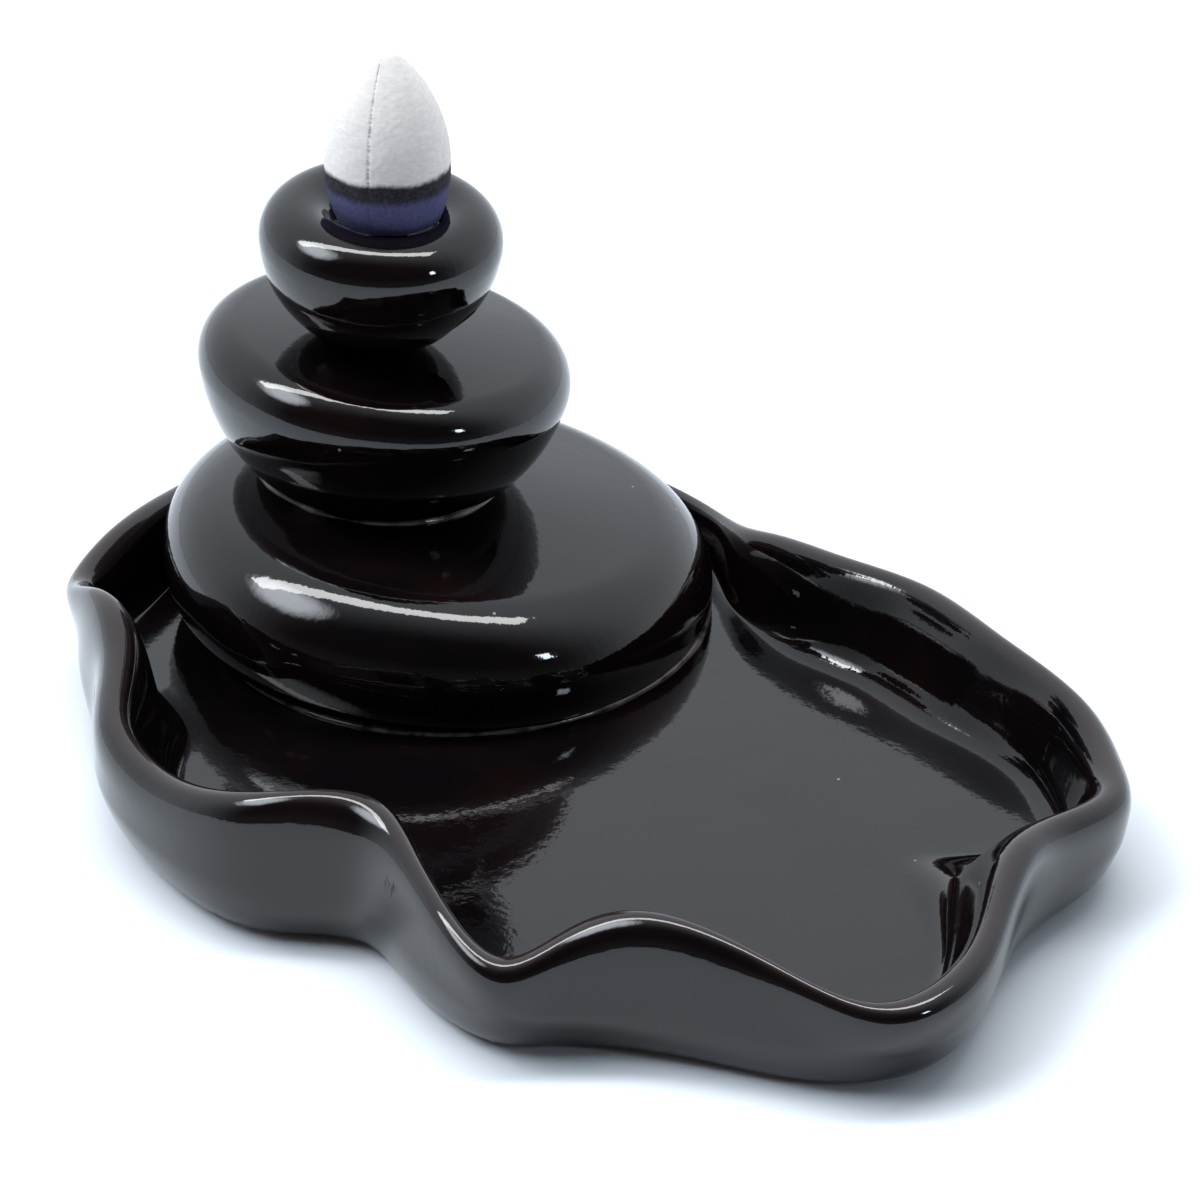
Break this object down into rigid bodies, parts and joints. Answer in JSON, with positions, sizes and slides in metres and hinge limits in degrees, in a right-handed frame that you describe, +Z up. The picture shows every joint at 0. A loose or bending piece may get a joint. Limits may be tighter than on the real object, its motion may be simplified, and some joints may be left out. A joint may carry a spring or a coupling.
{
  "type": "incense burner",
  "caption": "Backflow incense burner: glossy dark glazed pebbles stacked on a wavy leaf-shaped dish, with a lift-off cone standing in the dished top pebble over a flue.",
  "frame": {"origin": "the point of the table under the middle of the dish, midway along and across the crests of its lip", "axes": "+Z up; +X along the dish from the pebble stack to the open pool; +Y to the left of +X"},
  "size_m": [0.1352, 0.09, 0.0716],
  "materials": {
    "glaze": "gloss",
    "slip_bead": "gloss",
    "incense": "matt pressed powder",
    "char": "matt",
    "ash": "matt powder"
  },
  "bodies": {
    "burner": {"dish": "glaze", "lower_stone": "glaze", "middle_stone": "glaze", "top_stone": "glaze", "base_seam": "slip_bead", "lower_neck_seam": "slip_bead", "upper_neck_seam": "slip_bead"},
    "cone": {"cone_base": "incense", "cone_char": "char", "cone_ash": "ash"}
  },
  "joints": [
    {"name": "cone_lift", "type": "slide", "parent": "burner", "child": "cone", "axis": [0, 0, 1], "range_m": [0, 0.05]}
  ]
}
